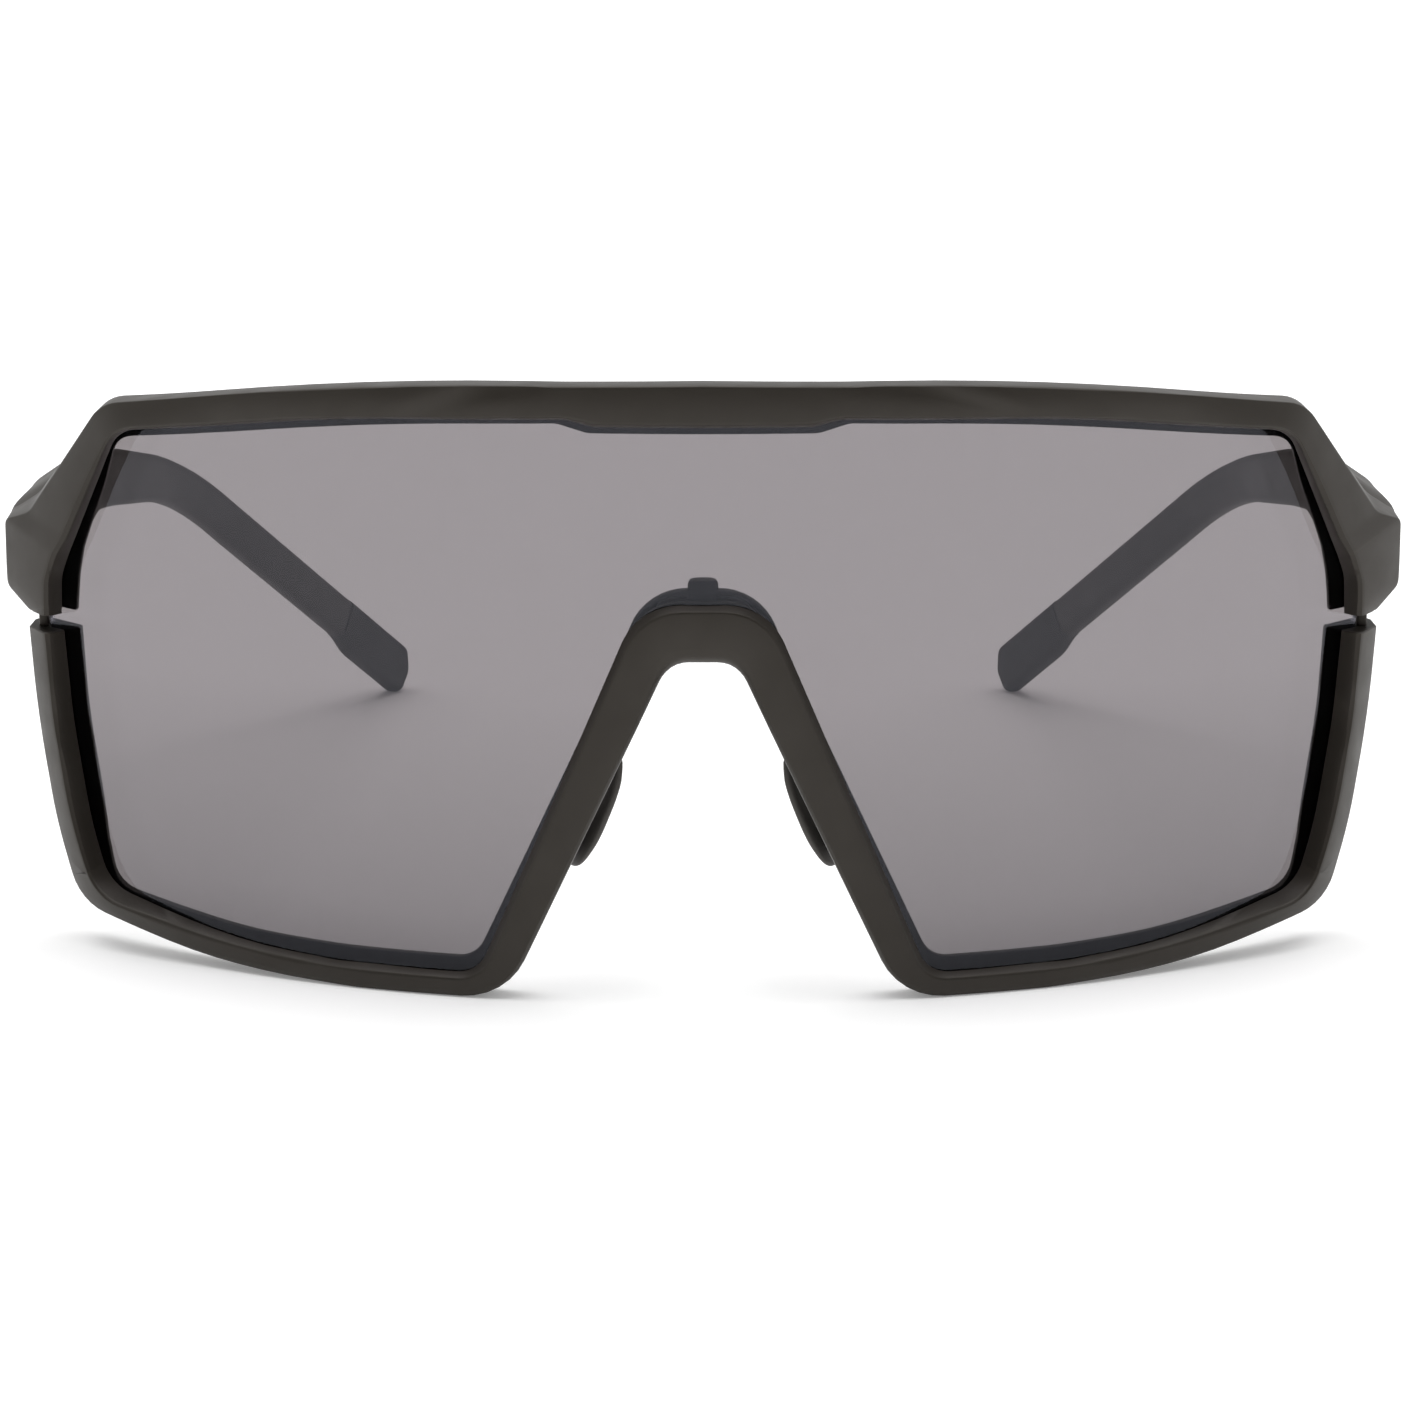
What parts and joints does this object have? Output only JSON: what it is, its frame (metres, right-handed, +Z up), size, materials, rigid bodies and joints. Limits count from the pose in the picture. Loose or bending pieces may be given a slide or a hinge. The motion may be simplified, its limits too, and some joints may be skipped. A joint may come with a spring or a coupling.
{
  "type": "sunglasses",
  "caption": "Wraparound shield sunglasses: one tinted cylindrical lens in a split plastic frame, with a nose piece and folding temples.",
  "frame": {"origin": "centre of the bounding box, on the plane that the lower rims and the temple tips rest on", "axes": "+Z up, the front faces -Y and the temples run to +Y, +X is the wearer's left"},
  "size_m": [0.145, 0.157, 0.0614],
  "materials": {
    "frame": "satin warm dark grey, moulded nylon",
    "lens": "transparent smoke-grey polycarbonate, polished",
    "nose_rubber": "soft matte",
    "tip_rubber": "soft matte",
    "steel": "satin stainless"
  },
  "bodies": {
    "lower": {"lower_frame": "frame"},
    "lens": {"shield_lens": "lens"},
    "front": {"upper_frame": "frame", "left_frame_hinge": "steel", "left_hinge_screw": "steel", "right_frame_hinge": "steel", "right_hinge_screw": "steel"},
    "nose_piece": {"nose_carrier": "nose_rubber", "nose_wire": "steel"},
    "left_temple": {"left_temple_arm": "frame", "left_temple_tip": "tip_rubber", "left_temple_core": "steel", "left_temple_hinge": "steel"},
    "left_pad": {"left_nose_pad": "nose_rubber", "left_pad_core": "steel"},
    "right_temple": {"right_temple_arm": "frame", "right_temple_tip": "tip_rubber", "right_temple_core": "steel", "right_temple_hinge": "steel"},
    "right_pad": {"right_nose_pad": "nose_rubber", "right_pad_core": "steel"}
  },
  "joints": [
    {"name": "lens_release", "type": "slide", "parent": "lower", "child": "lens", "axis": [0, 0, 1], "range_m": [0, 0.03]},
    {"name": "upper_frame_release", "type": "slide", "parent": "lens", "child": "front", "axis": [0, 0, 1], "range_m": [0, 0.026]},
    {"name": "left_temple_fold", "type": "hinge", "parent": "front", "child": "left_temple", "pos_m": [0.0679, -0.0397, 0.0403], "axis": [0, 0, 1], "range_deg": [0, 83]},
    {"name": "right_temple_fold", "type": "hinge", "parent": "front", "child": "right_temple", "pos_m": [-0.0679, -0.0397, 0.0403], "axis": [0, 0, -1], "range_deg": [0, 75]},
    {"name": "nose_piece_release", "type": "slide", "parent": "lower", "child": "nose_piece", "axis": [0, 1, 0], "range_m": [0, 0.008]},
    {"name": "left_pad_adjust", "type": "hinge", "parent": "nose_piece", "child": "left_pad", "pos_m": [0.0135, -0.07, 0.0166], "axis": [-0.4067, 0, 0.9135], "range_deg": [-10, 10]},
    {"name": "right_pad_adjust", "type": "hinge", "parent": "nose_piece", "child": "right_pad", "pos_m": [-0.0135, -0.07, 0.0166], "axis": [0.4067, 0, 0.9135], "range_deg": [-10, 10]}
  ]
}
